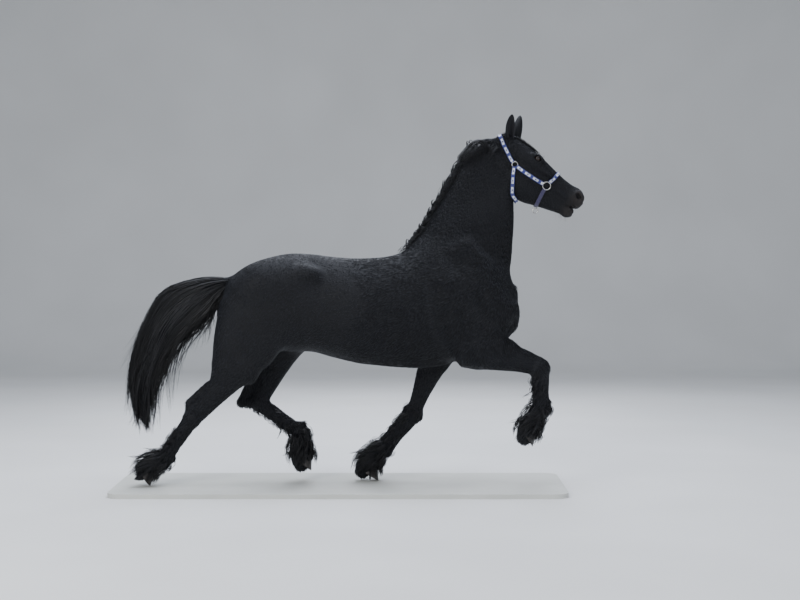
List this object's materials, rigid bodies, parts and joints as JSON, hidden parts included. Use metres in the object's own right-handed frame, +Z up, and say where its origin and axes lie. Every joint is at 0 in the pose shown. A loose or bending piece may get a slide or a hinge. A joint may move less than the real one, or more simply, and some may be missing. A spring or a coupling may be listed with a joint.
{
  "type": "friesian horse model",
  "caption": "Life-size black Friesian horse in an extended trot, wearing a webbing headcollar, standing on a flat display base.",
  "frame": {"origin": "centre of the base's underside, on the floor", "axes": "+X towards the horse's head along the base, +Y to the horse's left, +Z up"},
  "size_m": [3.0863, 0.9, 2.4664],
  "materials": {
    "coat": "black winter coat, cool sheen",
    "hair": "black long hair",
    "horn": "dark hoof horn",
    "eye": "dark brown, glossy",
    "webbing": "blue and white woven webbing",
    "metal": "plated rings",
    "base": "pale grey matt board"
  },
  "bodies": {
    "root": {"ear_left": "coat", "ear_right": "coat", "eye_left": "eye", "eye_right": "eye", "fore_cannon_left": "coat", "fore_cannon_right": "coat", "fore_hoof_left": "horn", "fore_hoof_right": "horn", "fore_pastern_left": "coat", "fore_pastern_right": "coat", "forearm_left": "coat", "forearm_right": "coat", "halter_cheek_left": "webbing", "halter_cheek_right": "webbing", "halter_cheek_ring_left": "metal", "halter_cheek_ring_right": "metal", "halter_chin": "webbing", "halter_chin_ring": "metal", "halter_crown": "webbing", "halter_nose_ring_left": "metal", "halter_nose_ring_right": "metal", "halter_noseband": "webbing", "halter_throat": "webbing", "head": "coat", "hind_cannon_left": "coat", "hind_cannon_right": "coat", "hind_gaskin_left": "coat", "hind_gaskin_right": "coat", "hind_hoof_left": "horn", "hind_hoof_right": "horn", "hind_pastern_left": "coat", "hind_pastern_right": "coat", "hind_thigh_left": "coat", "hind_thigh_right": "coat", "neck": "coat", "stand_base": "base", "tail": "hair", "torso": "coat"}
  },
  "joints": []
}
